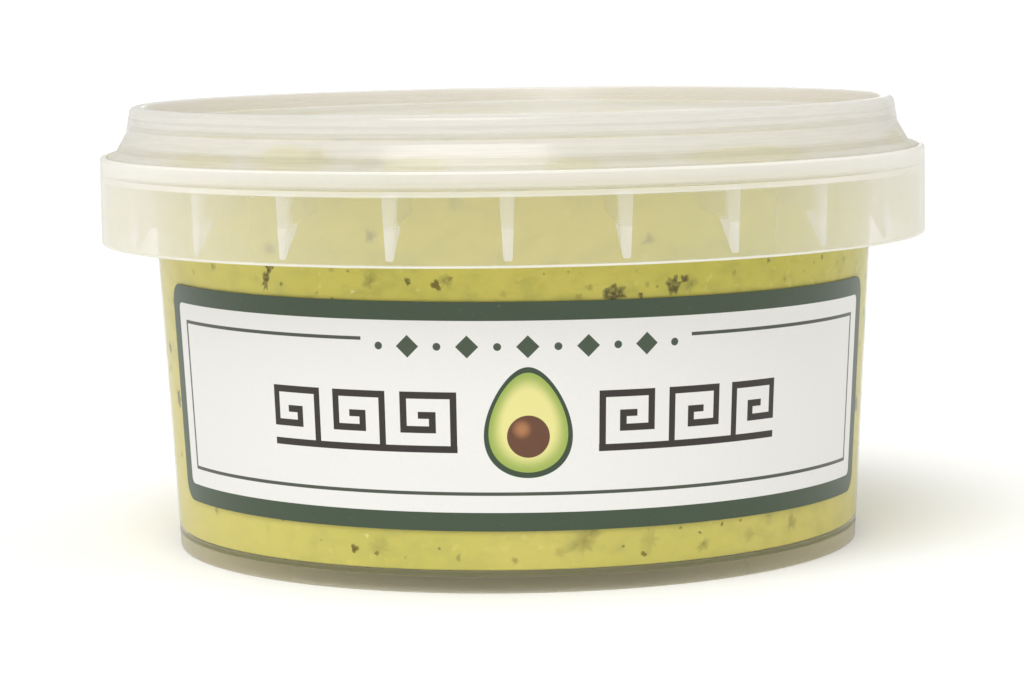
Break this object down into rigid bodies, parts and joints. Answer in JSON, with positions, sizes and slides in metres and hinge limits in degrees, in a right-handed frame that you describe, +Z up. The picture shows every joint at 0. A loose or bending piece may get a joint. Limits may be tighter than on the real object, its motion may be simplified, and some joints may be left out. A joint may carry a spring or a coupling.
{
  "type": "pot of guacamole",
  "caption": "Guacamole in a round translucent tub with a ribbed collar, a press-on lid with a stacking ring, and a label round the front.",
  "frame": {"origin": "centre of the foot, on the surface that the pot stands on", "axes": "+Z up, out through the lid; -Y out through the front, where the label is"},
  "size_m": [0.096, 0.096, 0.0513],
  "materials": {
    "clear_plastic": "thin uncoloured polypropylene, translucent, satin to glossy",
    "dip": "moist yellow-green avocado dip with herb flecks, soft sheen",
    "label_paper": "smooth printed label, off-white with a dark green border"
  },
  "bodies": {
    "root": {"tub": "clear_plastic", "lid": "clear_plastic", "guacamole": "dip", "label": "label_paper"}
  },
  "joints": []
}
